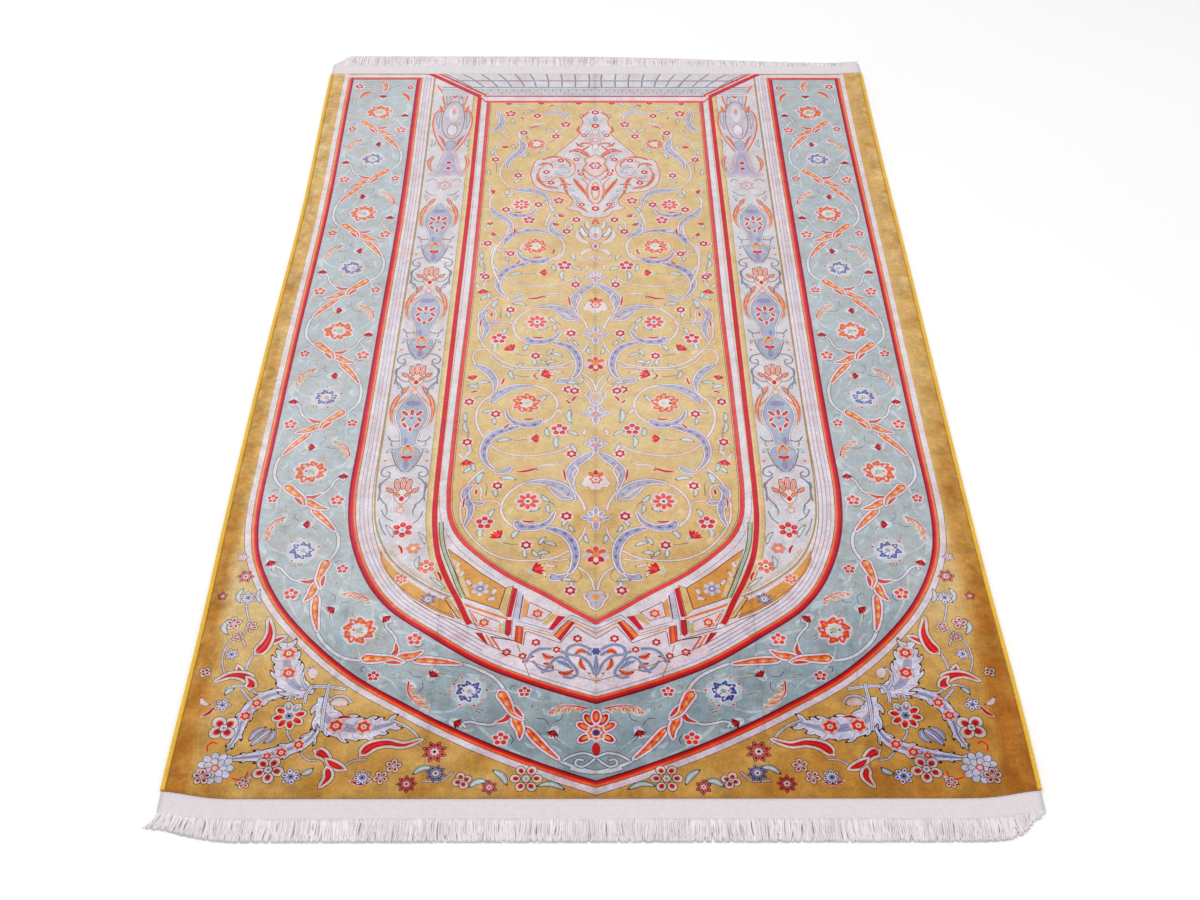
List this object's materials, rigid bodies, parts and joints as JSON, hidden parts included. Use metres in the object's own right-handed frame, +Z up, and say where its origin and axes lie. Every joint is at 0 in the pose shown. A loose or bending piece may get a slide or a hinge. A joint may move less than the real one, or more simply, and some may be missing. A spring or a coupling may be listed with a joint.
{
  "type": "prayer rug",
  "caption": "Flat pile prayer rug with a pointed-arch pattern, overcast side bindings and a fringed heading at each end.",
  "frame": {"origin": "middle of the rug's flat underside, fringes included", "axes": "+Y along the rug from the end with the pointed arch to the far end, +Z up out of the pile, +X to the right of someone who stands at the arch end and looks along the rug"},
  "size_m": [0.7073, 1.1884, 0.0066],
  "materials": {
    "pile": "short velvet pile",
    "binding": "overcast yarn",
    "fringe": "soft yarn"
  },
  "bodies": {
    "root": {"pile": "pile", "binding_left": "binding", "binding_right": "binding", "fringe_near": "fringe", "fringe_far": "fringe"}
  },
  "joints": []
}
